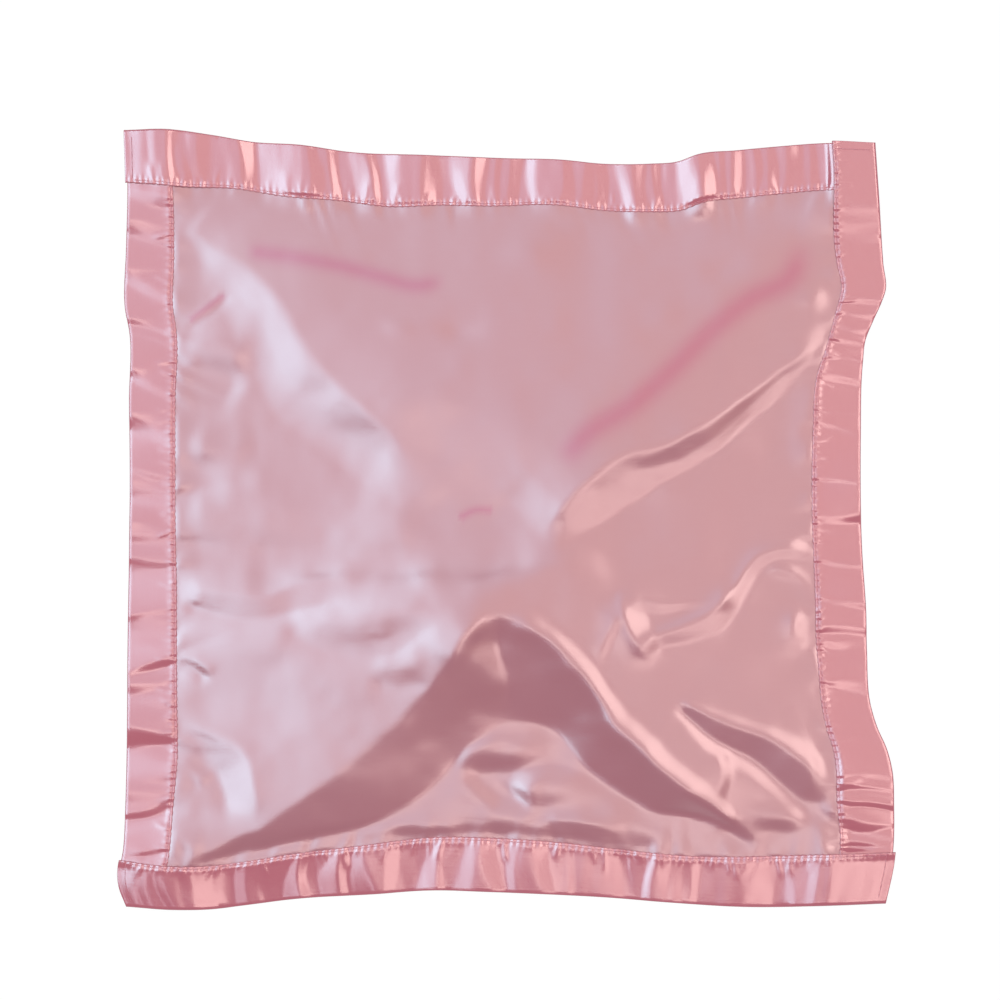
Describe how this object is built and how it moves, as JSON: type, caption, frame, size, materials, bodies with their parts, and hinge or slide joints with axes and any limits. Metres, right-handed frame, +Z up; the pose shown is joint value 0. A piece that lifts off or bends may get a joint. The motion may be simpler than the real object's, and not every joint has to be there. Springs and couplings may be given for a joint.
{
  "type": "comfort blanket lovey",
  "caption": "Small square satin comfort blanket lying face up, two satin panels with a folded satin ribbon sewn over each edge.",
  "frame": {"origin": "centre of the blanket's bounding box, on the surface that it lies on", "axes": "+Z up, off the surface, out of the blanket's face; +Y to the top edge in the picture; +X to its right edge"},
  "size_m": [0.383, 0.3844, 0.0124],
  "materials": {
    "panel_satin": "thin polyester satin, greyish rose, shiny side out",
    "back_satin": "thin polyester satin, shiny side down",
    "binding_satin": "satin ribbon, dusty pink, folded in half",
    "sewing_thread": "polyester sewing thread, pink"
  },
  "bodies": {
    "root": {"face_panel": "panel_satin", "back_panel": "back_satin", "left_binding": "binding_satin", "top_binding": "binding_satin", "right_binding": "binding_satin", "bottom_binding": "binding_satin", "left_needle_thread": "sewing_thread", "left_bobbin_thread": "sewing_thread", "top_needle_thread": "sewing_thread", "top_bobbin_thread": "sewing_thread", "right_needle_thread": "sewing_thread", "right_bobbin_thread": "sewing_thread", "bottom_needle_thread": "sewing_thread", "bottom_bobbin_thread": "sewing_thread"}
  },
  "joints": []
}
